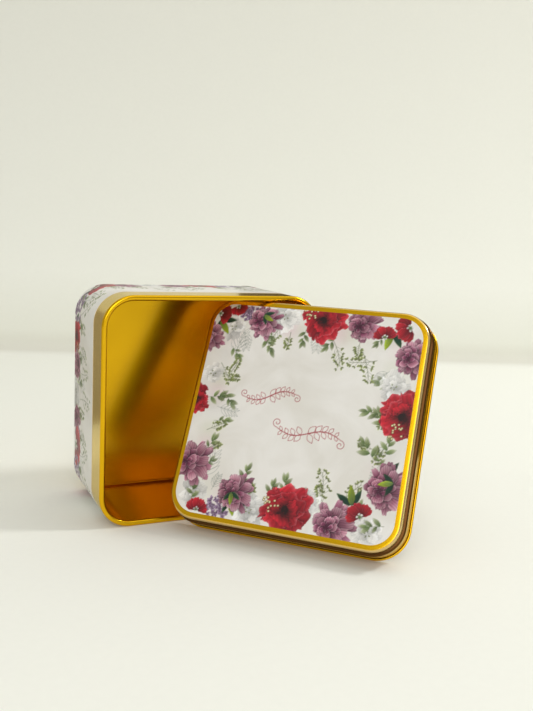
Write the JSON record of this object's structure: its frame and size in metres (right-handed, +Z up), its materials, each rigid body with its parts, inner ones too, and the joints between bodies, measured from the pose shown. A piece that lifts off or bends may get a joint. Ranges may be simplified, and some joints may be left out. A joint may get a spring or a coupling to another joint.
{
  "type": "square slip-lid gift tin",
  "caption": "Square gold tinplate box with rounded corners and a floral printed wrap, lying on its side with its slip lid leaning in the mouth.",
  "frame": {"origin": "middle of the side wall that the tin rests on, halfway along the tin's depth", "axes": "+Z up, square to the wall that the tin rests on; the mouth opens towards -Y and the base faces +Y; +X to the right of someone facing the mouth"},
  "size_m": [0.134, 0.1326, 0.1],
  "materials": {
    "body_tinplate": "gold-lacquered tinplate, satin",
    "lid_tinplate": "gold-lacquered tinplate, satin",
    "printed_wrap": "printed vinyl, satin",
    "printed_label": "printed vinyl, satin"
  },
  "bodies": {
    "tin": {"body_shell": "body_tinplate", "bottom_panel": "body_tinplate", "body_wrap": "printed_wrap"},
    "lid": {"lid_shell": "lid_tinplate", "lid_label": "printed_label"}
  },
  "joints": [
    {"name": "lid_slide", "type": "slide", "parent": "tin", "child": "lid", "axis": [0, -1, 0], "range_m": [0, 0.09]}
  ]
}
